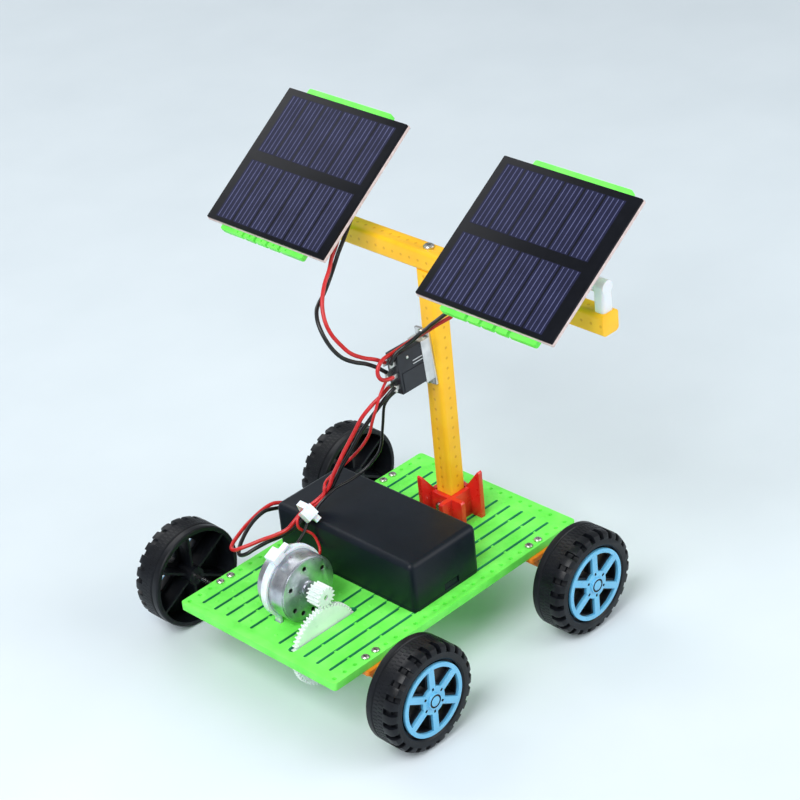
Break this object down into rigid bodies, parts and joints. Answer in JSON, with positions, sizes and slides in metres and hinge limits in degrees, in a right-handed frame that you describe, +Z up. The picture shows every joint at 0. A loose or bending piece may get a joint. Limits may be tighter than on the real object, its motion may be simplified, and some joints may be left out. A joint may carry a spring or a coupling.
{
  "type": "solar car kit",
  "caption": "Four-wheeled car kit with a geared motor, battery case, push switch and two tilting solar panels on a mast.",
  "frame": {"origin": "on the ground under the middle of the deck", "axes": "+Z up, -X towards the motor end, +Y the left-hand side seen from the motor end"},
  "size_m": [0.126, 0.168, 0.1731],
  "materials": {
    "green_plastic": "satin fluorescent",
    "orange_plastic": "satin",
    "steel_screws": "zinc plated",
    "black_plastic": "fine grain, slightly glossy",
    "cell_wrap": "printed wrap",
    "spring_steel": "nickel plated",
    "motor_steel": "nickel plated",
    "white_plastic": "satin",
    "cable_tie": "translucent nylon",
    "copper_winding": "enamelled",
    "axle_steel": "ground",
    "gear_plastic": "translucent",
    "wheel_black": "matte",
    "hubcap_blue": "glossy",
    "red_plastic": "glossy",
    "yellow_plastic": "satin",
    "board_pink": "cut edge",
    "cell_resin": "clear resin over dark cells",
    "switch_steel": "nickel plated",
    "switch_black": "satin",
    "solder_lug": "tinned",
    "wire_red": "vinyl",
    "wire_black": "vinyl"
  },
  "bodies": {
    "chassis": {"base_plate": "green_plastic", "bracket_front_left": "orange_plastic", "bracket_front_right": "orange_plastic", "bracket_rear_left": "orange_plastic", "bracket_rear_right": "orange_plastic", "bracket_screws": "steel_screws", "foot_screws": "steel_screws", "crossbar_screw": "steel_screws", "post_screws": "steel_screws", "tilt_screws": "steel_screws", "switch_screws": "steel_screws", "battery_case": "black_plastic", "battery_cover": "black_plastic", "battery_cells": "cell_wrap", "battery_contacts": "spring_steel", "motor_can": "motor_steel", "motor_end_cap": "motor_steel", "post_left": "white_plastic", "post_right": "white_plastic", "motor_tie": "cable_tie", "wire_tie": "cable_tie", "mast_foot": "red_plastic", "mast": "yellow_plastic", "crossbar": "yellow_plastic", "switch_frame": "switch_steel", "switch_body": "switch_black", "switch_lugs": "solder_lug", "panel_wire_left_red": "wire_red", "panel_wire_right_red": "wire_red", "battery_wire_red": "wire_red", "motor_wire_red": "wire_red", "panel_wire_left_black": "wire_black", "panel_wire_right_black": "wire_black", "battery_wire_black": "wire_black", "motor_wire_black": "wire_black"},
    "drive_axle": {"front_axle": "axle_steel", "drive_gear": "gear_plastic", "wheel_front_left": "wheel_black", "wheel_front_right": "wheel_black", "hubcap_front_left": "hubcap_blue", "hubcap_front_right": "hubcap_blue"},
    "rear_axle_set": {"rear_axle": "axle_steel", "wheel_rear_left": "wheel_black", "wheel_rear_right": "wheel_black", "hubcap_rear_left": "hubcap_blue", "hubcap_rear_right": "hubcap_blue"},
    "motor_rotor": {"motor_shaft": "axle_steel", "motor_core": "copper_winding", "pinion": "white_plastic"},
    "switch_button": {"switch_plunger": "switch_black"},
    "panel_left": {"arm_left": "white_plastic", "arm_screw_left": "steel_screws", "back_plate_left": "green_plastic", "panel_board_left": "board_pink", "panel_cover_left": "cell_resin"},
    "panel_right": {"arm_right": "white_plastic", "arm_screw_right": "steel_screws", "back_plate_right": "green_plastic", "panel_board_right": "board_pink", "panel_cover_right": "cell_resin"}
  },
  "joints": [
    {"name": "drive_axle_spin", "type": "hinge", "parent": "chassis", "child": "drive_axle", "pos_m": [-0.043, 0, 0.02], "axis": [0, 1, 0], "continuous": true},
    {"name": "rear_axle_spin", "type": "hinge", "parent": "chassis", "child": "rear_axle_set", "pos_m": [0.042, 0, 0.02], "axis": [0, 1, 0], "continuous": true},
    {"name": "motor_spin", "type": "hinge", "parent": "chassis", "child": "motor_rotor", "pos_m": [-0.04063, 0, 0.03865], "axis": [0, 1, 0], "continuous": true},
    {"name": "panel_left_tilt", "type": "hinge", "parent": "chassis", "child": "panel_left", "pos_m": [0.0389, 0.0764, 0.147], "axis": [0, -1, 0], "range_deg": [-35, 50], "deforming": ["panel_wire_left_red", "panel_wire_left_black"]},
    {"name": "panel_right_tilt", "type": "hinge", "parent": "chassis", "child": "panel_right", "pos_m": [0.0389, -0.0764, 0.147], "axis": [0, -1, 0], "range_deg": [-33, 50], "deforming": ["panel_wire_right_red", "panel_wire_right_black"]},
    {"name": "switch_press", "type": "slide", "parent": "chassis", "child": "switch_button", "axis": [-1, 0, 0], "range_m": [0, 0.0025], "stiffness_N_per_m": 600}
  ],
  "couplings": [
    {"joint": "motor_spin", "follows": "drive_axle_spin", "ratio": -4}
  ]
}
